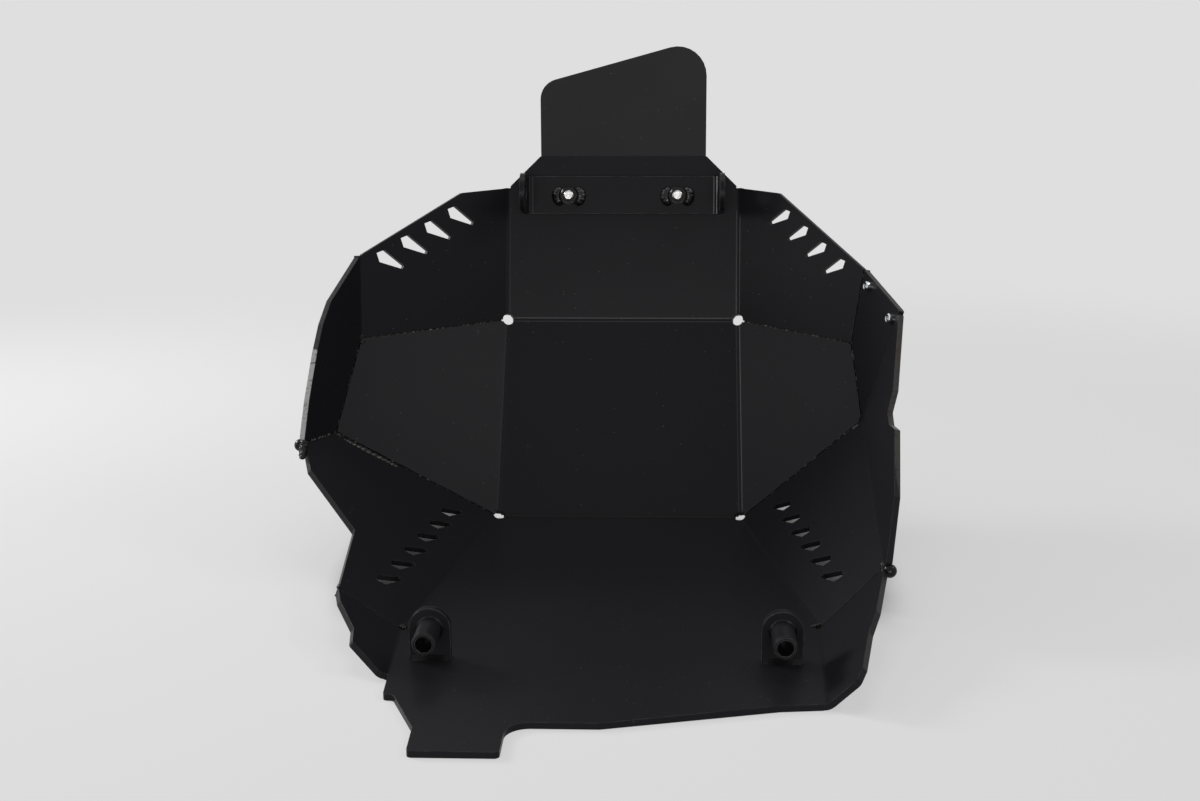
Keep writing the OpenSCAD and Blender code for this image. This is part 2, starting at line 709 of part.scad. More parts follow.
// Weld beads
near_hole = relief_d / 2 + 1;
near_end = 3;
module weld_front(k) {
    color(weld_black)
        bead(knee_corner[k], front_corner[k], side_in[k], front_in[k], near_hole, near_end);
}
module weld_rear(k) {
    color(weld_black)
        bead(floor_corner[k], rear_corner[k], side_in[k], rear_in[k], near_hole, near_end);
}
module weld_wall(k) {
    color(weld_black)
        bead(front_corner[k], rear_corner[k], side_in[k], wall_in[k], near_end, near_end);
}
module weld_lower(k) {
    color(weld_black)
        bead(vee[k], tail[k], rear_in[k], lower_in[k], near_end, k == LEFT ? 0 : near_end);
}
module weld_wall_tail_left() {
    color(weld_black)
        bead(rear_corner[LEFT], wall_tail, rear_in[LEFT], wall_in[LEFT], near_end, 0);
}
module weld_wall_nose_right() {
    color(weld_black)
        bead(front_corner[RIGHT], rim_outer[RIGHT], front_in[RIGHT], wall_in[RIGHT], near_end, 0);
}

// A small relief hole is filled by a plug of weld
plug_d = small_relief_d - 2 * fit;
plug_deep = sheet_t - 0.8;
plug_through = sheet_t + 1;
plug_proud = 0.4;
module weld_vee(k) {
    color(weld_black) vee_hole(k, plug_d, plug_deep, plug_proud);
}
module weld_nose_left() {
    color(weld_black) nose_hole(plug_d, plug_through, plug_proud);
}
module weld_heel_right() {
    color(weld_black) heel_hole(plug_d, plug_through, plug_proud);
}
// Where three welded edges meet, a ball of weld closes the outside of the corner
corner_ball_r = 4.5;
module corner_ball(p, normals) {
    out = -unit([for (i = [0:2]) [for (n = normals) n[i]] * [for (n = normals) 1]]);
    translate(p + (corner_ball_r + fit) * out) sphere(r = corner_ball_r);
}
module weld_corner_left() {
    color(weld_black)
        difference() {
            corner_ball(rear_corner[LEFT], [side_in[LEFT], rear_in[LEFT], wall_in[LEFT]]);
            side_panel(LEFT);
            left_rear_wing();
            left_wall();
            weld_rear(LEFT);
            weld_wall(LEFT);
            weld_wall_tail_left();
        }
}
module weld_corner_right() {
    color(weld_black)
        difference() {
            corner_ball(front_corner[RIGHT], [side_in[RIGHT], front_in[RIGHT], wall_in[RIGHT]]);
            side_panel(RIGHT);
            front_wing(RIGHT);
            right_wall_front();
            weld_front(RIGHT);
            weld_wall(RIGHT);
            weld_wall_nose_right();
        }
}

module weld_tail_left() {
    color(weld_black)
        difference() {
            corner_ball(wall_tail, [rear_in[LEFT], wall_in[LEFT]]);
            left_rear_wing();
            left_wall();
            weld_wall_tail_left();
        }
}
module weld_tail_right() {
    color(weld_black)
        difference() {
            corner_ball(tail[RIGHT], [rear_in[RIGHT], wall_rear_in, lower_in[RIGHT]]);
            right_rear_wing();
            right_wall_rear();
            lower_panel(RIGHT);
            bends();
            weld_lower(RIGHT);
        }
}

// Front bracket: a channel with two rounded ears, lying on the upper panel
bracket_bend_r = 4;
module front_bracket() {
    ear_out = bracket_w / 2;
    knee = bracket_t + bracket_bend_r;
    flat = ear_out - knee;
    ear_in = ear_out - bracket_t;
    color(black)
        multmatrix(matrix(upper_plane))
            translate([0, bracket_up, 0])
                difference() {
                    union() {
                        translate([-flat, 0, 0]) cube([2 * flat, bracket_len, bracket_t]);
                        for (s = side_sign) {
                            translate([s * flat, bracket_len, knee])
                                rotate([90, 0, 0])
                                    rotate([0, 0, s > 0 ? -90 : 180])
                                        rotate_extrude(angle = 90)
                                            translate([bracket_bend_r, 0])
                                                square([bracket_t, bracket_len]);
                            translate([s > 0 ? ear_in : -ear_out, 0, knee])
                                cube([bracket_t, bracket_len, ear_bore_h - knee]);
                            translate([s > 0 ? ear_in : -ear_out, bracket_len / 2, ear_bore_h])
                                rotate([0, 90, 0])
                                    cylinder(d = bracket_len, h = bracket_t);
                        }
                    }
                    translate([-ear_out - over, bracket_len / 2, ear_bore_h])
                        rotate([0, 90, 0])
                            cylinder(d = ear_bore_d, h = bracket_w + 2 * over);
                    for (s = side_sign)
                        translate([s * bolt_pitch / 2, bolt_row, -over])
                            cylinder(d = bolt_hole_d, h = bracket_t + 2 * over);
                }
}

// Bracket fasteners: a button-head bolt and washer outside, a welded nut inside
nut_af = bolt_d * 1.625;
nut_h = bolt_d * 0.8;
washer_t = 1.6;
washer_d = bolt_d * 2;
washer_hole_d = bolt_d + 0.4;
thread_fit = 0.05;
bolt_proud = 1.5;
bolt_lead = 1;
module hexagon(af, h) {
    cylinder(d = af / cos(30), h = h, $fn = 6);
}
module front_nut(k) {
    corner_r = nut_af / 2 / cos(30);
    chamfer = (corner_r - nut_af / 2) * 0.6;
    color(weld_black)
        at_bolt(k) translate([0, 0, bracket_t])
            difference() {
                intersection() {
                    hexagon(nut_af, nut_h);
                    rotate_extrude()
                        polygon([[0, 0], [corner_r, 0], [corner_r, nut_h - chamfer],
                            [corner_r - 2 * chamfer, nut_h], [0, nut_h]]);
                }
                translate([0, 0, -over]) cylinder(d = bolt_d + 2 * thread_fit, h = nut_h + 2 * over);
            }
}
// Each nut is held by a crescent of weld on either side
nut_weld_out = 6;
nut_weld_h = 4.2;
nut_weld_sweep = 90;
module nut_weld(k) {
    corner_r = nut_af / 2 / cos(30) + fit;
    arc = [for (i = [0:corner_steps]) let (a = 90 * i / corner_steps)
        [corner_r + nut_weld_out * cos(a), fit + nut_weld_h * sin(a)]];
    color(weld_black)
        at_bolt(k) for (turned = [0, 180])
            translate([0, 0, bracket_t])
                rotate([0, 0, turned - nut_weld_sweep / 2])
                    rotate_extrude(angle = nut_weld_sweep)
                        polygon(concat([[corner_r, fit]], arc));
}
module front_washer(k) {
    color(steel)
        at_bolt(k) translate([0, 0, -sheet_t - washer_t])
            difference() {
                cylinder(d = washer_d, h = washer_t);
                translate([0, 0, -over]) cylinder(d = washer_hole_d, h = washer_t + 2 * over);
            }
}
module front_bolt(k) {
    head_h = bolt_d * 0.55;
    head_d = bolt_d * 1.75;
    end_z = bracket_t + nut_h + bolt_proud;
    seat_z = -sheet_t - washer_t;
    color(steel)
        at_bolt(k)
            difference() {
                rotate_extrude()
                    polygon([[0, seat_z - head_h], [head_d * 0.32, seat_z - head_h],
                        [head_d * 0.42, seat_z - head_h * 0.75], [head_d / 2, seat_z - head_h * 0.2],
                        [head_d / 2, seat_z], [bolt_d / 2, seat_z], [bolt_d / 2, end_z - bolt_lead],
                        [bolt_d / 2 - bolt_lead, end_z], [0, end_z]]);
                translate([0, 0, seat_z - head_h - over]) hexagon(bolt_d * 0.62, bolt_d * 0.4 + over);
            }
}

// Rear mounts: an upright plate with a round top, and a tube through it that points backwards
module at_rear_bore(k) {
    translate([side_sign[k] * rear_pitch / 2, 0, sheet_t + rear_bore_h])
        rotate([90, 0, 0])
            children();
}
module rear_upright(k) {
    color(black)
        at_rear_bore(k) translate([0, 0, -upright_t])
            difference() {
                union() {
                    cylinder(d = upright_w, h = upright_t);
                    translate([-upright_w / 2, -rear_bore_h, 0]) cube([upright_w, rear_bore_h, upright_t]);
                }
                translate([0, 0, -over]) cylinder(d = tube_d + 2 * fit, h = upright_t + 2 * over);
            }
}
module rear_tube(k) {
    lead = 0.8;
    color(black)
        at_rear_bore(k)
            rotate_extrude()
                polygon([[rear_bore_d / 2, -upright_t], [tube_d / 2, -upright_t],
                    [tube_d / 2, tube_len - lead], [tube_d / 2 - lead, tube_len],
                    [rear_bore_d / 2, tube_len]]);
}
// Fillet welds: their legs, and how hollow their faces are
tube_leg = 1.2;
upright_leg = 3;
throat = 0.45;
module tube_weld(k) {
    r = tube_d / 2 + fit;
    color(weld_black)
        at_rear_bore(k)
            rotate_extrude()
                polygon([[r, fit], [r + tube_leg, fit],
                    [r + tube_leg * throat, tube_leg * throat], [r, tube_leg + fit]]);
}
weld_short = 1;
module upright_weld(k) {
    leg = upright_leg;
    color(weld_black)
        translate([side_sign[k] * rear_pitch / 2 - upright_w / 2 + weld_short, 0, sheet_t + fit])
            rotate([90, 0, 90])
                linear_extrude(upright_w - 2 * weld_short)
                    for (s = [[-fit, -1], [upright_t + fit, 1]])
                        polygon([[s[0], 0], [s[0] + s[1] * leg, 0],
                            [s[0] + s[1] * leg * throat, leg * throat], [s[0], leg]]);
}

// Rivet nut: a thin flange outside, a body through the wall and the crimped threaded end inside
module rivet_nut(i) {
    body = rivet_body_d / 2;
    crimp = body + 0.6;
    flange = body + 1;
    flange_t = 0.8;
    crimp_lead = 0.8;
    core_lead = 0.4;
    core = rivet_core_d / 2;
    out = -sheet_t - flange_t;
    color(zinc)
        at_rivet(i)
            rotate_extrude()
                polygon([[core, out], [flange, out], [flange, -sheet_t], [body, -sheet_t], [body, fit],
                    [crimp, fit], [crimp, rivet_len - crimp_lead], [crimp - crimp_lead, rivet_len],
                    [core + core_lead, rivet_len], [core, rivet_len - core_lead]]);
}

folded_plate();
weld_front(LEFT);  // weld_front_left
weld_front(RIGHT);  // weld_front_right
weld_rear(LEFT);  // weld_rear_left
weld_rear(RIGHT);  // weld_rear_right
weld_wall(LEFT);  // weld_wall_left
weld_wall(RIGHT);  // weld_wall_right
weld_lower(LEFT);  // weld_lower_left
weld_lower(RIGHT);  // weld_lower_right
weld_wall_tail_left();
weld_wall_nose_right();
weld_vee(LEFT);  // weld_vee_left
weld_vee(RIGHT);  // weld_vee_right
weld_nose_left();
weld_heel_right();
weld_corner_left();
weld_corner_right();
weld_tail_left();
weld_tail_right();
front_bracket();
front_nut(LEFT);  // front_nut_left
front_nut(RIGHT);  // front_nut_right
nut_weld(LEFT);  // nut_weld_left
nut_weld(RIGHT);  // nut_weld_right
front_bolt(LEFT);  // front_bolt_left
front_bolt(RIGHT);  // front_bolt_right
front_washer(LEFT);  // front_washer_left
front_washer(RIGHT);  // front_washer_right
rear_upright(LEFT);  // rear_upright_left
rear_upright(RIGHT);  // rear_upright_right
rear_tube(LEFT);  // rear_tube_left
rear_tube(RIGHT);  // rear_tube_right
tube_weld(LEFT);  // tube_weld_left
tube_weld(RIGHT);  // tube_weld_right
upright_weld(LEFT);  // upright_weld_left
upright_weld(RIGHT);  // upright_weld_right
rivet_nut(0);  // rivet_nut_front
rivet_nut(1);  // rivet_nut_rear
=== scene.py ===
"""Looks of a folded and welded skid plate: camera, studio, finishes and the weld detail on its solids."""
import math

import bpy
import numpy as np
from mathutils import Matrix, Vector


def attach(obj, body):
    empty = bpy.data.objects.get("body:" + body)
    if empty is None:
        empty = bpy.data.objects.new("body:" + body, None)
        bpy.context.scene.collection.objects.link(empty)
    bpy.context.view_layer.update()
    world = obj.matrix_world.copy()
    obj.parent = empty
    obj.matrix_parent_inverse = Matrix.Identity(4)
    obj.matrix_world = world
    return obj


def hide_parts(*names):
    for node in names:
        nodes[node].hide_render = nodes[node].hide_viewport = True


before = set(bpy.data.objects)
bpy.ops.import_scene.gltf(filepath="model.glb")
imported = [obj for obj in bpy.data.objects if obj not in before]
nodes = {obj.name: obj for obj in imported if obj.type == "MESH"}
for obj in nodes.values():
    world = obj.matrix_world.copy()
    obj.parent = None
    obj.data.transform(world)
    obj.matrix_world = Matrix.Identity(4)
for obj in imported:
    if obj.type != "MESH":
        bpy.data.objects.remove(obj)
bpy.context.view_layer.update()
scene = bpy.context.scene
scene.view_settings.view_transform = "Standard"

# Camera, at the photograph's place: above and behind the rear edge, looking forward and down
EYE = Vector((0.03718, -0.95624, 0.40122))
PITCH, YAW, ROLL = 0.2412, -0.0415, -0.0052
LENS = 51.0

ahead = Vector((math.sin(YAW) * math.cos(PITCH), math.cos(YAW) * math.cos(PITCH), -math.sin(PITCH)))
level = Vector((math.cos(YAW), -math.sin(YAW), 0))
upright = level.cross(ahead)
right = math.cos(ROLL) * level + math.sin(ROLL) * upright
up = -math.sin(ROLL) * level + math.cos(ROLL) * upright

camera = bpy.data.objects.new("camera", bpy.data.cameras.new("camera"))
camera.data.lens = LENS
camera.data.sensor_width = 36.0
camera.data.sensor_fit = "HORIZONTAL"
camera.data.clip_start, camera.data.clip_end = 0.05, 50.0
camera.matrix_world = Matrix.Translation(EYE) @ Matrix((right, up, -ahead)).transposed().to_4x4()
scene.collection.objects.link(camera)
scene.camera = camera


class Sock:
    """One output of a node. Arithmetic on it adds the Math nodes that work it out."""

    def __init__(self, tree, socket=None):
        self.tree, self.socket = tree, socket

    def make(self, kind, settings=None, inputs=None, out=0):
        """Adds a node: its settings come first, then a value or a link for each socket."""
        node = self.tree.nodes.new(kind)
        for key, value in (settings or {}).items():
            setattr(node, key, value)
        for key, value in (inputs or {}).items():
            if isinstance(value, Sock):
                self.tree.links.new(value.socket, node.inputs[key])
            else:
                node.inputs[key].default_value = value
        return Sock(self.tree, node.outputs[out]) if len(node.outputs) else None

    def also(self, out):
        """Another output of the same node."""
        return Sock(self.tree, self.socket.node.outputs[out])

    def maths(self, operation, *values):
        return self.make("ShaderNodeMath", {"operation": operation}, dict(enumerate(values)))

    def __add__(self, other):
        return self.maths("ADD", self, other)

    def __sub__(self, other):
        return self.maths("SUBTRACT", self, other)

    def __rsub__(self, other):
        return self.maths("SUBTRACT", other, self)

    def __mul__(self, other):
        return self.maths("MULTIPLY", self, other)

    def __pow__(self, other):
        return self.maths("POWER", self, other)

    __radd__ = __add__
    __rmul__ = __mul__

    def vector(self, operation, other, out=0):
        """A Vector Math node on this and another vector; out names its output."""
        return self.make("ShaderNodeVectorMath", {"operation": operation}, {0: self, 1: other}, out)

    def off_line(self, start, end):
        """Distance in metres from the line through two points, which are in millimetres."""
        axis = (Vector(end) - Vector(start)).normalized()
        across = self.vector("SUBTRACT", Vector(start) / 1000).vector("CROSS_PRODUCT", axis)
        return across.make("ShaderNodeVectorMath", {"operation": "LENGTH"}, {0: across}, "Value")

    def along_line(self, start, end):
        """Way in metres from the first point along the line to the second, which are in millimetres."""
        axis = (Vector(end) - Vector(start)).normalized()
        return self.vector("SUBTRACT", Vector(start) / 1000).vector("DOT_PRODUCT", axis, "Value")

    def step(self, low, high):
        """A smooth step from 0 at low to 1 at high."""
        return self.make("ShaderNodeMapRange", {"interpolation_type": "SMOOTHSTEP"},
                         {0: self, 1: low, 2: high})

    def blend(self, a, b):
        """Colour a where this mask is 0 and colour b where it is 1."""
        return self.make("ShaderNodeMix", {"data_type": "RGBA"}, {0: self, 6: a, 7: b}, 2)

    def noise(self, scale, detail=2.0, out="Fac"):
        """Noise at these coordinates, with a number of waves per metre."""
        return self.make("ShaderNodeTexNoise", {}, {"Vector": self, "Scale": scale, "Detail": detail}, out)


def new_finish(name):
    """A material with an empty node tree, and a start for its nodes."""
    material = bpy.data.materials.new(name)
    material.use_nodes = True
    material.node_tree.nodes.clear()
    return material, Sock(material.node_tree)


def grey(level, warm=0.0):
    """A grey colour, a little warmer where warm is above 0."""
    return (level * (1 + warm), level, level * (1 - warm), 1.0)


def tint(level):
    """A grey colour, a little bluer."""
    return (level * 0.97, level * 0.97, level * 1.12, 1.0)


def surface(start, settings, normal=None):
    """Ends a material in one physical shader with these socket values."""
    if normal is not None:
        settings = {**settings, "Normal": normal}
    shader = start.make("ShaderNodeBsdfPrincipled", {}, settings)
    start.make("ShaderNodeOutputMaterial", {}, {"Surface": shader})


# Studio: a pale surround that gloss reflects, a soft level for all other light, and soft boxes
PALE = 0.737
AMBIENT = 0.15
world = bpy.data.worlds.new("studio")
world.use_nodes = True
world.node_tree.nodes.clear()
scene.world = world


def seen_rays(start):
    """1 for rays that look: from the camera, off gloss or through glass."""
    path = start.make("ShaderNodeLightPath", out="Is Camera Ray")
    return path.maths("MAXIMUM", path.maths("MAXIMUM", path, path.also("Is Glossy Ray")),
                      path.also("Is Transmission Ray"))


sky = Sock(world.node_tree)
soft = sky.make("ShaderNodeBackground", {}, {"Color": grey(1), "Strength": AMBIENT})
pale = sky.make("ShaderNodeBackground", {}, {"Color": grey(PALE), "Strength": 1.0})
both = sky.make("ShaderNodeMixShader", {}, {0: seen_rays(sky), 1: soft, 2: pale})
sky.make("ShaderNodeOutputWorld", {}, {"Surface": both})

# Each soft box: name, place, the point it faces, width, height, power in watts
SOFT_BOXES = [
    ("left_low_box", (-1.6, 0.1, 0.5), (0, 0.2, 0.1), 0.8, 0.5, 3.2),
    ("left_back_box", (-1.4, 0.9, 0.8), (0.1, 0.2, 0.1), 0.5, 0.4, 19.0),
    ("left_high_box", (-1.3, 0.2, 1.3), (0, 0.2, 0.1), 0.8, 0.6, 3.3),
    ("right_high_box", (1.3, 0.2, 1.3), (0, 0.2, 0.1), 0.8, 0.6, 5.3),
    ("top_box", (0.0, 0.5, 1.8), (0, 0.2, 0.1), 1.0, 0.8, 7.0),
    ("front_low_box", (0.0, -1.8, 0.3), (0, 0.3, 0.2), 1.4, 0.5, 17.0),
]
for name, place, target, width, height, power in SOFT_BOXES:
    lamp = bpy.data.lights.new(name, "AREA")
    lamp.shape = "RECTANGLE"
    lamp.size, lamp.size_y, lamp.energy = width, height, power
    box = bpy.data.objects.new(name, lamp)
    box.location = place
    box.rotation_euler = (Vector(place) - Vector(target)).to_track_quat("Z", "Y").to_euler()
    scene.collection.objects.link(box)

# Floor: a diffuse share keeps the shadow near the plate, and a dark emission paints shadow where the plate
# covers it, running out into the pale surround. Two round spots of painted light are left in it, on the line
# from the photograph's camera through the lower relief holes, which the photograph shows white. From other
# sides they are seen as pale discs
FLOOR_R, SHADOW_SHARE, COVER_REACH = 3.0, 0.24, 0.12
PAINTED_SHADOW_EDGE, SIDE_FADE, REAR_FADE = (0.24, 0.66), (0.165, 0.205), (0.06, 0.13)
PAINTED_LIGHT_SPOT_AT, PAINTED_LIGHT_SPOT_EDGE = (0.093, 0.302), (0.00006, 0.00014)  # metres, and squared distance
turn = np.linspace(0, 2 * np.pi, 96, endpoint=False)
rim = np.stack([FLOOR_R * np.cos(turn), FLOOR_R * np.sin(turn), 0 * turn], 1)
floor_mesh = bpy.data.meshes.new("floor")
floor_mesh.from_pydata(rim.tolist(), [], [list(range(len(rim)))])
floor = bpy.data.objects.new("floor", floor_mesh)
scene.collection.objects.link(floor)
floor_finish, start = new_finish("pale_floor")
reach = start.make("ShaderNodeVectorMath", {"operation": "LENGTH"},
                   {0: start.make("ShaderNodeTexCoord", out="Object")}, "Value")
shade = start.make("ShaderNodeBsdfDiffuse", {}, {"Color": grey(SHADOW_SHARE)})
glow = start.make("ShaderNodeEmission", {}, {"Color": grey(PALE - 0.96 * SHADOW_SHARE), "Strength": 1.0})
lit = start.make("ShaderNodeAddShader", {}, {0: shade, 1: glow})
spot = start.make("ShaderNodeSeparateXYZ", {}, {0: start.make("ShaderNodeTexCoord", out="Object")})
aside, onward = spot.maths("ABSOLUTE", spot), spot.also("Y")
off_x, off_y = aside - PAINTED_LIGHT_SPOT_AT[0], onward - PAINTED_LIGHT_SPOT_AT[1]
# two round spots of painted light on the floor, kept out of the painted shadow
painted_light_spots = 1 - (off_x * off_x + off_y * off_y).step(*PAINTED_LIGHT_SPOT_EDGE)
free = start.make("ShaderNodeAmbientOcclusion", {"samples": 12}, {"Distance": COVER_REACH}, "AO")
painted_shadow_mask = (1 - free).step(*PAINTED_SHADOW_EDGE)
inside = (1 - aside.step(*SIDE_FADE)) * onward.step(*REAR_FADE)
# deep: a dark emission, painted shadow on the floor under the plate
deep = start.make("ShaderNodeEmission", {}, {"Color": grey(0.03), "Strength": 1.0})
near = start.make("ShaderNodeMixShader", {}, {0: painted_shadow_mask * inside * (1 - painted_light_spots), 1: lit, 2: deep})
far = start.make("ShaderNodeEmission", {}, {"Color": grey(PALE), "Strength": 1.0})
seen = start.make("ShaderNodeMixShader", {}, {0: reach.step(0.75, 1.5), 1: near, 2: far})
plain = start.make("ShaderNodeBsdfDiffuse", {}, {"Color": grey(0.6)})
shown = start.make("ShaderNodeMixShader", {}, {0: seen_rays(start), 1: plain, 2: seen})
start.make("ShaderNodeOutputMaterial", {}, {"Surface": shown})
floor_mesh.materials.append(floor_finish)


# Finishes
def powder_coat(name, level, rough, shine, dust, thin, bends=(), rim_highlights=(), scratch=None, painted_shade_bends=()):
    """Black powder coat: a fine orange peel, a trace of dust, edges where the film is thin, and painted light.

    Three noises of 2.4, 0.4 and 70 mm drive the relief and the roughness. A speck is where the distance
    to a random point is below that point's own random size. An edge is where the normal of a rounded
    copy of the surface leaves the true one; its lighter colour is partly wear and partly a painted highlight.
    The film is glossier on the two sides of a bend, where the distance to the bend's line is 0.7 to 2.1 mm.
    A rim is where the normal is square to the wall's; its colour is a painted highlight. A shaded bend is
    darker, a painted shade, and rougher within 2 mm of its line."""
    material, s = new_finish(name)
    place = s.make("ShaderNodeTexCoord", out="Object")
    peel, grit, cloud = place.noise(420.0, 3.0), place.noise(2600.0), place.noise(14.0, 4.0)
    cell = s.make("ShaderNodeTexVoronoi", {}, {"Vector": place, "Scale": 210.0}, "Distance")
    size = 0.01 + 0.105 * s.make("ShaderNodeSeparateColor", {}, {0: cell.also("Color")}) ** 2.2
    speck = (1 - cell.step(size * 0.6, size)) * dust
    round_normal = s.make("ShaderNodeBevel", {"samples": 6}, {"Radius": 0.0006})
    true_normal = s.make("ShaderNodeNewGeometry", out="Normal")
    edge = (1 - round_normal.vector("DOT_PRODUCT", true_normal, "Value")).step(0.006, 0.1)
    # lighter edges: partly wear of the film, partly a painted highlight
    wear_and_highlight_edge = edge * place.noise(160.0, 3.0).step(0.3, 0.62)
    colour = wear_and_highlight_edge.blend(tint(level), grey(thin, 0.02))
    colour = speck.blend(colour, grey(0.09, 0.02))
    spot = s.make("ShaderNodeSeparateXYZ", {}, {0: place})
    high = spot.also("Z")
    # rim colour: lighter colour on the cut edges of the walls, a painted highlight
    for wall, out, start, low, top, shade in rim_highlights:
        flat = true_normal.vector("DOT_PRODUCT", wall, "Value")
        edge_on = (1 - flat.maths("ABSOLUTE", flat).step(0.3, 0.36)) * (spot * out).step(start, start + 0.0005)
        reach = high.step(low - 0.0005, low) * (1 - high.step(top, top + 0.0005))
        colour = (edge_on * reach * peel.step(0.2, 0.5)).blend(colour, shade)
    if scratch:
        gap = place.vector("DISTANCE", scratch, "Value")
        colour = (1 - gap.step(0.0012, 0.002)).blend(colour, grey(0.2))
    pool = 0.0
    for start, end, share in bends:
        far, run = place.off_line(start, end), place.along_line(start, end)
        length = (Vector(end) - Vector(start)).length / 1000
        line = far.step(0.0007, 0.0012) * (1 - far.step(0.0015, 0.0021)) * share
        pool = line * (run.step(0.004, 0.007) * (1 - run.step(length - 0.007, length - 0.004))) + pool
    # shaded bends: darker colour along the bend's line, a painted shade
    for start, end in painted_shade_bends:
        painted_bend_shade = 1 - place.off_line(start, end).step(0.002, 0.0035)
        colour = painted_bend_shade.blend(colour, grey(level * 0.7))
    gloss = rough + 0.08 * (cloud - 0.5) + 0.05 * (grit - 0.5) + 0.25 * speck + (0.2 * painted_bend_shade if painted_shade_bends else 0.0)
    relief = s.make("ShaderNodeBump", {}, {"Strength": 0.35, "Distance": 0.0001,
                                          "Height": peel + 0.35 * grit + 0.6 * speck, "Normal": round_normal})
    surface(s, {"Base Color": colour, "Roughness": gloss, "Specular IOR Level": shine, "Coat Weight": pool,
                "Coat Roughness": 0.2, "Coat IOR": 1.6}, relief)
    return material


def weld_coat(name, level, rough, shine):
    """Powder coat over weld: pitted relief, and light brown scale where the bead came through the gap."""
    material, s = new_finish(name)
    place = s.make("ShaderNodeTexCoord", out="Object")
    lump, pit, fleck = place.noise(620.0, 4.0), place.noise(2100.0, 3.0), place.noise(1300.0, 2.0)
    flux = s.make("ShaderNodeAttribute", {"attribute_name": "flux"}, None, "Fac")
    scale = flux * fleck.step(0.44, 0.58)
    colour = scale.blend(grey(level), (0.17, 0.155, 0.13, 1.0))
    gloss = rough + 0.2 * (pit - 0.5) + 0.3 * scale
    relief = s.make("ShaderNodeBump", {}, {"Strength": 0.5, "Distance": 0.0003, "Height": lump + 0.3 * pit})
    surface(s, {"Base Color": colour, "Roughness": gloss, "Specular IOR Level": shine}, relief)
    return material


def nut_coat(name, spots):
    """Glossy black over the nuts: shallow dents, and a patch at each spot where the coat is gone to bare steel.

    The patch is partly wear and partly a painted highlight, put where a highlight falls beside the bolt.
    """
    material, s = new_finish(name)
    place = s.make("ShaderNodeTexCoord", out="Object")
    dent, pit = place.noise(330.0, 3.0), place.noise(1900.0, 2.0)
    round_normal = s.make("ShaderNodeBevel", {"samples": 6}, {"Radius": 0.0005})
    bare_and_highlight = 0.0
    # bare steel patches: partly wear, partly a painted highlight
    for spot in spots:
        gap = place.vector("DISTANCE", spot, "Value")
        bare_and_highlight = (1 - (gap + 0.0016 * (dent - 0.5)).step(0.0013, 0.0021)) + bare_and_highlight
    film = dent.step(0.55, 0.8).blend(grey(0.006), grey(0.02, 0.04))
    colour = bare_and_highlight.blend(film, grey(0.3))
    relief = s.make("ShaderNodeBump", {}, {"Strength": 0.4, "Distance": 0.0002,
                                          "Height": dent + 0.2 * pit, "Normal": round_normal})
    surface(s, {"Base Color": colour, "Metallic": 0.9 * bare_and_highlight, "Roughness": 0.18 + 0.12 * (pit - 0.5),
                "Specular IOR Level": 0.22}, relief)
    return material


def turned_steel(name, centre, axis):
    """Stainless steel with turned rings: a sine of the distance from the bolt's axis, 0.5 mm a ring."""
    material, s = new_finish(name)
    place = s.make("ShaderNodeTexCoord", out="Object")
    off = place.vector("SUBTRACT", centre).vector("CROSS_PRODUCT", axis)
    far = s.make("ShaderNodeVectorMath", {"operation": "LENGTH"}, {0: off}, "Value")
    rings = (far * (2 * math.pi / 0.0005)).maths("SINE", far * (2 * math.pi / 0.0005))
    smear, pit = place.noise(240.0, 4.0), place.noise(2600.0, 2.0)
    colour = smear.step(0.35, 0.75).blend(grey(0.56, 0.01), grey(0.36, 0.04))
    relief = s.make("ShaderNodeBump", {}, {"Strength": 0.3, "Distance": 0.00005, "Height": 0.5 * rings + pit})
    surface(s, {"Base Color": colour, "Metallic": 1.0, "Roughness": 0.3 + 0.2 * (smear - 0.4)}, relief)
    return material


def bright_zinc(name):
    """Bright zinc plate with a crystal grain, duller in patches."""
    material, s = new_finish(name)
    place = s.make("ShaderNodeTexCoord", out="Object")
    grain = s.make("ShaderNodeTexVoronoi", {}, {"Vector": place, "Scale": 1500.0}, "Distance")
    patch = place.noise(300.0, 3.0)
    colour = patch.step(0.4, 0.7).blend((0.78, 0.79, 0.82, 1), (0.6, 0.61, 0.63, 1))
    relief = s.make("ShaderNodeBump", {}, {"Strength": 0.25, "Distance": 0.0001, "Height": grain + patch})
    surface(s, {"Base Color": colour, "Metallic": 1.0, "Roughness": 0.2 + 0.2 * (patch - 0.4)}, relief)
    return material


# Places in millimetres on the inner faces, [left, right], and the panels' inner normals
FLOOR_CORNER = [(-92.5, 284, 4), (92.5, 284, 4)]
KNEE_CORNER = [(-92.5, 388.047, 137.174), (92.5, 388.047, 137.174)]
FRONT_CORNER = [(-198.155, 310.734, 137.299), (176.504, 322.739, 132.361)]
REAR_CORNER = [(-209.413, 256.051, 77.866), (181.701, 280.357, 82.987)]
RIM_OUTER = [(-199.151, 324.275, 199.107), (185.139, 329.045, 188.256)]
WALL_TAIL = (-222.884, 211.198, 81.830)
TAIL = [(-170.448, 50.612, 29.800), (173.84, 68.051, 41.615)]
VEE = [(-131.5, 49, 4), (133.5, 58, 4)]
SIDE_IN = [(0.5, -0.682437, 0.533178), (-0.5, -0.682437, 0.533178)]
FRONT_IN = [(0.580683, -0.793264, 0.183139), (-0.597233, -0.781511, 0.180426)]
REAR_IN = [(0.547346, -0.090836, 0.831962), (-0.660903, -0.119898, 0.740831)]
WALL_IN = [(0.956761, -0.280533, 0.076873), (-0.92892, -0.323584, 0.180002)]
LOWER_IN = [(0.552814, 0.026505, 0.832883), (-0.685898, 0.032243, 0.726983)]
UPPER_IN = (0, -0.97437, 0.224951)
UPPER_DIR = (0, 0.224951, 0.97437)
BOLT_CENTRE = [(-43.5, 410.317, 233.636), (43.5, 410.317, 233.636)]
BRACKET_T, NUT_CORNER_R = 4.0, 7.506
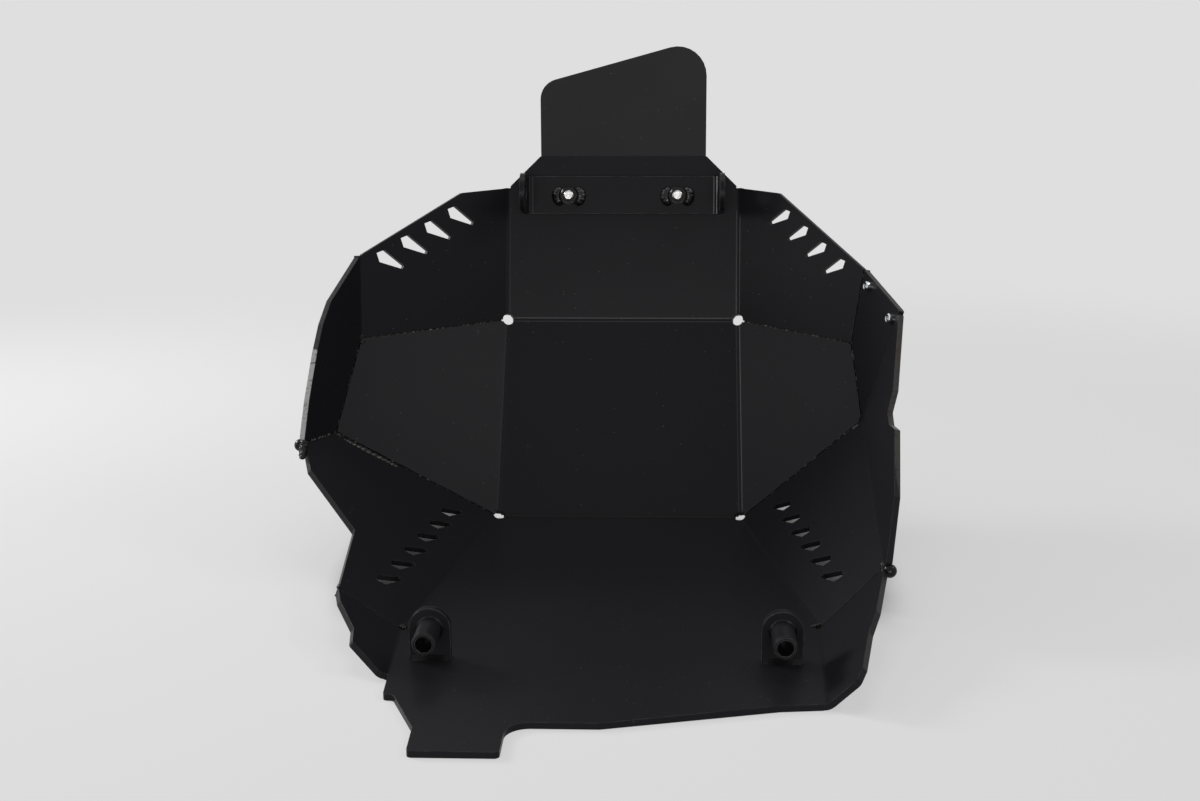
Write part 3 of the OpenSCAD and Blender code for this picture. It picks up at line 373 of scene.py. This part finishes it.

# Glossier bends: start and end in millimetres, share. Painted highlights on the walls' cut edges: the
# wall's normal, its side, the least distance out, the lowest and highest place in metres, colour
BENDS = [
    (KNEE_CORNER[0], KNEE_CORNER[1], 0.4),
    (KNEE_CORNER[1], (92.5, 409, 228), 0.4),
    (FLOOR_CORNER[1], KNEE_CORNER[1], 0.28),
    (KNEE_CORNER[0], (-92.5, 409, 228), 0.12),
    (FLOOR_CORNER[0], KNEE_CORNER[0], 0.04),
    (VEE[1], FLOOR_CORNER[1], 0.15),
]
EAR_BENDS = [((74, 401.9, 215.0), (74, 411.4, 256.0), 1.0), ((-74, 401.9, 215.0), (-74, 411.4, 256.0), 0.3)]
PAINTED_RIM_HIGHLIGHTS = [
    (WALL_IN[0], -1.0, 0.197, 0.14, 0.25, grey(0.035)),
    (WALL_IN[0], -1.0, 0.197, 0.079, 0.1425, grey(0.32, 0.01)),
    (WALL_IN[1], 1.0, 0.186, 0.0, 0.25, grey(0.045, 0.08)),
]


def nut_point(k, across, rise, off):
    """A point near nut k, in metres: across, up along the panel and off its inner face, in millimetres."""
    return (np.array(BOLT_CENTRE[k]) + across * np.array((1, 0, 0)) + rise * np.array(UPPER_DIR)
            + off * np.array(UPPER_IN)) / 1000


steel_of = {"front_bolt_left": 0, "front_washer_left": 0, "front_bolt_right": 1, "front_washer_right": 1}
turned = [turned_steel(f"turned_steel_{side}", [c / 1000 for c in BOLT_CENTRE[k]], UPPER_IN)
          for k, side in enumerate(("left", "right"))]
finishes = {
    "sheet": powder_coat("sheet_coat", 0.011, 0.37, 0.07, 1.0, 0.05, BENDS, PAINTED_RIM_HIGHLIGHTS, (-0.2163, 0.2565, 0.1653),
                          [FLOOR_CORNER]),
    # the fitting's lighter edges stand in for the highlights on its edges: partly wear, partly painted highlight
    "fitting": powder_coat("fitting_coat", 0.010, 0.34, 0.08, 0.3, 0.12, EAR_BENDS),
    "weld": weld_coat("weld_coat", 0.006, 0.24, 0.14),
    "lobe": weld_coat("lobe_coat", 0.006, 0.16, 0.32),
    "nut": nut_coat("nut_coat", [nut_point(k, -6.0, 4.2, BRACKET_T + 6.0) for k in (0, 1)]),
    "rivet_nut": bright_zinc("bright_zinc"),
}
for name, obj in nodes.items():
    for slot in obj.material_slots:
        kind = slot.material.name.split(".")[0]
        slot.material = turned[steel_of[name]] if name in steel_of else finishes[kind]


# Surfaces
def unit(v):
    v = np.asarray(v, float)
    return v / np.linalg.norm(v)


def closed_skin(name, rings, flux, finish, replaced=()):
    """A closed skin through a stack of rings: rings[t, i] is point i of ring t, in millimetres.

    Neighbouring points of neighbouring rings make the four corners of a face, and the first and the last
    ring are closed by a fan to their own mean. The faces turn outwards when the volume inside is positive."""
    count, size = rings.shape[:2]
    points = np.concatenate([rings.reshape(-1, 3), [rings[0].mean(0), rings[-1].mean(0)]]) / 1000
    t, i = np.meshgrid(np.arange(count - 1), np.arange(size), indexing="ij")
    j = (i + 1) % size
    quads = np.stack([t * size + i, t * size + j, (t + 1) * size + j, (t + 1) * size + i], -1).reshape(-1, 4)
    a = np.arange(size)
    b = (a + 1) % size
    last, end = (count - 1) * size, count * size
    fans = np.concatenate([np.stack([b, a, np.full(size, end)], 1),
                           np.stack([last + a, last + b, np.full(size, end + 1)], 1)])
    triangles = np.concatenate([quads[:, [0, 1, 2]], quads[:, [0, 2, 3]], fans])
    p, q, r = (points[triangles[:, c]] - points.mean(0) for c in range(3))
    if (p * np.cross(q, r)).sum() < 0:
        quads, fans = quads[:, ::-1], fans[:, ::-1]
    mesh = bpy.data.meshes.new(name)
    mesh.from_pydata(points.tolist(), [], quads.tolist() + fans.tolist())
    mesh.polygons.foreach_set("use_smooth", np.ones(len(mesh.polygons), bool))
    marks = mesh.attributes.new("flux", "FLOAT", "POINT")
    marks.data.foreach_set("value", np.concatenate([flux.ravel(), [0.0, 0.0]]).astype(np.float32))
    mesh.materials.append(finishes[finish])
    mesh.update()
    obj = bpy.data.objects.new(name, mesh)
    scene.collection.objects.link(obj)
    if replaced:
        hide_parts(*replaced)
    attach(obj, "root")
    return obj


def corner_frame(p, q, m, n):
    """Axes of a corner between panels with inner normals m and n: out of the sheet, across, along."""
    z = unit(np.subtract(q, p))
    x = -unit(np.add(m, n))
    return x, np.cross(z, x), z, math.acos(min(1.0, float(np.dot(m, n)))) / 2


def ripple(u):
    """Overlapping weld puddles: a smooth rise over each step of u and a quick fall at its end."""
    f = u - np.floor(u)
    return np.where(f < 0.78, np.sin(f / 0.78 * np.pi / 2), np.cos((f - 0.78) / 0.22 * np.pi / 2))


SHEET_T, ROOT_GAP, FIT = 4.0, 0.6, 0.05
BEAD_ROOT, BEAD_TOE, BEAD_CROWN, PUDDLE = 1.2, 1.6, 1.0, 2.8


def seam(name, p, q, m, n, start, stop, seed, through):
    """A bead along the corner line from p to q, from start to the length less stop.

    Its section is the groove's walls, two toes on the outer faces and a half ellipse between them, whose
    height is 1 + 0.14 ripple(t / puddle + 0.35 a^2), a from -1 to 1 across it. The root face sinks and
    rises as a sum of bells at random places along t, where the weld came through the gap."""
    x, y, z, half = corner_frame(p, q, m, n)
    rng = np.random.default_rng(seed)
    length = np.linalg.norm(np.subtract(q, p)) - start - stop
    t = np.linspace(0, length, int(length / 0.4) + 2)
    c, s = math.cos(half), math.sin(half)
    wall = ROOT_GAP - FIT
    flank = np.array([[c * d - s * w, s * d + c * w] for d, w in
                      ((BEAD_ROOT, wall), (SHEET_T + FIT, wall), (SHEET_T + FIT, ROOT_GAP + BEAD_TOE))])
    toe = flank[2]
    top = toe[0] + BEAD_CROWN + toe[1] * s / 2
    a = np.linspace(0, np.pi, 15)[1:-1]
    swell = 1 + 0.14 * (ripple(t[:, None] / PUDDLE + 0.35 * np.cos(a) ** 2) - 0.6)
    cap = np.stack([toe[0] + (top - toe[0]) * np.sin(a) * swell, toe[1] * np.cos(a) + 0 * t[:, None]], -1)
    at = np.cumsum(rng.uniform(3.2, 8.5, int(length / 3.2) + 2))
    high, wide = rng.uniform(0.35, 1.3, len(at)), rng.uniform(0.6, 1.6, len(at))
    at, high, wide = (values[at < length] for values in (at, high, wide))
    rise = np.minimum((through * high * np.exp(-((t[:, None] - at) / wide) ** 2)).sum(1), 1.25)[:, None]
    b = np.linspace(-1, 1, 7)
    deep = BEAD_ROOT - rise
    root = np.stack([c * deep - s * wall - 0.35 * rise * (1 - b ** 2), b * (s * deep + c * wall)], -1)
    sides = [np.broadcast_to(pt, (len(t), 2))[:, None] for pt in
             (flank[1], flank[2], flank[2] * (1, -1), flank[1] * (1, -1))]
    flat = np.concatenate([sides[0], sides[1], cap, sides[2], sides[3], root], 1)
    flux = np.zeros(flat.shape[:2])
    flux[:, -len(b):] = np.clip(rise * 1.1, 0, 1)
    rings = np.array(p, float) + flat[..., :1] * x + flat[..., 1:] * y + (t + start)[:, None, None] * z
    closed_skin(name + "_bead", rings, flux, "weld", (name,))


NEAR_HOLE, NEAR_END = 5.5, 3.0
L, R = 0, 1
for k, side in enumerate(("left", "right")):
    seam(f"weld_front_{side}", KNEE_CORNER[k], FRONT_CORNER[k], SIDE_IN[k], FRONT_IN[k],
         NEAR_HOLE, NEAR_END, 11 + k, 1)
    seam(f"weld_rear_{side}", FLOOR_CORNER[k], REAR_CORNER[k], SIDE_IN[k], REAR_IN[k],
         NEAR_HOLE, NEAR_END, 21 + k, 0.8)
    seam(f"weld_wall_{side}", FRONT_CORNER[k], REAR_CORNER[k], SIDE_IN[k], WALL_IN[k],
         NEAR_END, NEAR_END, 31 + k, 0.7)
    seam(f"weld_lower_{side}", VEE[k], TAIL[k], REAR_IN[k], LOWER_IN[k],
         NEAR_END, 0 if k == L else NEAR_END, 41 + k, 0.5)
seam("weld_wall_tail_left", REAR_CORNER[L], WALL_TAIL, REAR_IN[L], WALL_IN[L], NEAR_END, 0, 51, 0.9)
seam("weld_wall_nose_right", FRONT_CORNER[R], RIM_OUTER[R], FRONT_IN[R], WALL_IN[R], NEAR_END, 0, 52, 0.6)


def nut_lobe(centre, turned_by, seed):
    """A crescent of weld beside a nut, in rings about the bolt's axis from -52 to 52 degrees.

    A section is a quarter ellipse from the bracket to the nut's side. Its reach is
    6.2 (1 - (angle / 52)^2)^0.4 and its height 4.3 of the same, both with the puddles' ripple on top."""
    rng = np.random.default_rng(seed)
    turn = np.linspace(-52, 52, 70)
    taper = np.maximum(1 - (turn / 52.5) ** 2, 0.004) ** 0.4
    a = np.linspace(0, np.pi / 2, 12)
    wave = 1 + 0.07 * (ripple(turn[:, None] / 17 + 0.22 * np.sin(2 * a) + rng.uniform()) - 0.6)
    reach = NUT_CORNER_R + FIT + 6.2 * taper[:, None] * np.cos(a) * wave
    high = FIT + 4.3 * taper[:, None] * np.sin(a) * wave
    reach = np.concatenate([np.full((len(turn), 1), NUT_CORNER_R + FIT), reach], 1)
    high = np.concatenate([np.full((len(turn), 1), FIT), high], 1)
    angle = np.radians(turn + turned_by)[:, None, None]
    rings = (np.array(centre) + (BRACKET_T + high)[..., None] * UPPER_IN
             + reach[..., None] * (np.cos(angle) * (1, 0, 0) + np.sin(angle) * np.array(UPPER_DIR)))
    return rings, np.zeros(reach.shape)


for k, side in enumerate(("left", "right")):
    for j, turned_by in enumerate((0, 180)):
        rings, flux = nut_lobe(BOLT_CENTRE[k], turned_by, 61 + 2 * k + j)
        closed_skin(f"nut_lobe_{side}_{j + 1}", rings, flux, "lobe", (f"nut_weld_{side}",))


def lump(name, centre, along, outward, size, seed, blunt=1.0, bare=0.6):
    """A lump of weld: rings about its long axis, a ring's radius going as sin(u)^blunt from end to end.

    On top of it lie three cosine waves in u and v with random phases, a tenth of the radius high. The
    mark for bare scale follows the first wave."""
    rng = np.random.default_rng(seed)
    z = unit(along)
    x = unit(np.subtract(outward, np.dot(outward, z) * z))
    y = np.cross(z, x)
    long, high, wide = size
    u = np.linspace(0.03, np.pi - 0.03, max(16, int(long * 6)))[:, None]
    v = np.linspace(0, 2 * np.pi, 20, endpoint=False)[None, :]
    swing = max(1.0, long / wide)
    waves = [np.cos(k * v + f * swing * u + rng.uniform(0, 6.28)) for k, f in ((2, 3.1), (3, 5.3), (1, 8.7))]
    radius = np.sin(u) ** blunt * (1 + 0.13 * sum(waves))
    rings = (np.array(centre, float) - long * np.cos(u)[..., None] * z
             + (radius * high * np.cos(v))[..., None] * x + (radius * wide * np.sin(v))[..., None] * y)
    closed_skin(name, rings, bare * np.clip(0.5 + 0.5 * waves[0] * np.sin(u), 0, 1), "weld")


along_rear_left = np.subtract(FLOOR_CORNER[L], REAR_CORNER[L])
along_rear_right = np.subtract(FLOOR_CORNER[R], REAR_CORNER[R])
rim_tail_left = (0.10, -0.93, -0.28)
LUMPS = [
    ("wall_tail_lump_1", (-223.4, 207.5, 80.6), rim_tail_left, (-1, 0, 1), (4.6, 3.0, 3.0), 71, 0.7, 0.05),
    ("wall_tail_lump_2", (-222.6, 200.0, 78.9), rim_tail_left, (-1, 0, 1), (4.2, 2.6, 2.6), 72, 0.8, 0.1),
    ("wall_tail_lump_3", (-221.4, 193.2, 77.2), rim_tail_left, (-1, 0, 1), (4.0, 2.2, 2.2), 73, 0.8, 0.1),
    ("rear_seam_run_left", (-184.5, 257.3, 60.6), along_rear_left, REAR_IN[L], (24.0, 1.5, 2.2), 74, 0.4, 1.6),
    ("rear_seam_drop_left", (-207.0, 253.6, 75.8), along_rear_left, REAR_IN[L], (2.2, 1.2, 1.8), 75, 1.0, 0.7),
    ("nose_drop_left", (-196.6, 309.9, 135.4), (0, 0, 1), WALL_IN[L], (2.1, 1.3, 2.0), 76, 1.0, 0.6),
    ("wall_tack_right", (177.2, 315.4, 123.9), (0, -0.6, -0.8), WALL_IN[R], (2.0, 1.1, 1.3), 77, 1.0, 0.9),
    ("rear_seam_drop_right_1", (176.4, 278.1, 77.9), along_rear_right, REAR_IN[R], (3.4, 0.9, 1.5), 78, 0.6, 0.9),
    ("rear_seam_drop_right_2", (147.5, 281.5, 52.7), along_rear_right, REAR_IN[R], (1.6, 0.7, 1.1), 79, 0.8, 0.8),
    ("tail_burr_left", (-170.6, 52.0, 31.0), (0, 1, 0.2), LOWER_IN[L], (2.0, 1.3, 1.2), 80, 1.0, 0.2),
    ("tail_lump_right_1", (173.6, 72.5, 41.4), (0.1, 1, 0.1), LOWER_IN[R], (3.4, 1.5, 1.5), 81, 0.8, 0.5),
    ("tail_lump_right_2", (172.6, 66.6, 40.0), (0.1, 1, 0.1), LOWER_IN[R], (2.6, 1.3, 1.3), 82, 0.8, 0.2),
    ("vee_end_left", (-130.4, 51.4, 4.6), (-0.4, 1, 0), (0, 0, 1), (3.0, 1.3, 2.2), 83, 0.8, 0.2),
    ("vee_end_right", (131.2, 60.8, 4.8), (1, 0.25, 0.2), (0, 0, 1), (4.0, 0.9, 1.4), 84, 0.6, 0.2),
]
for name, centre, along, outward, size, seed, blunt, bare in LUMPS:
    lump(name, centre, along, outward, size, seed, blunt, bare)
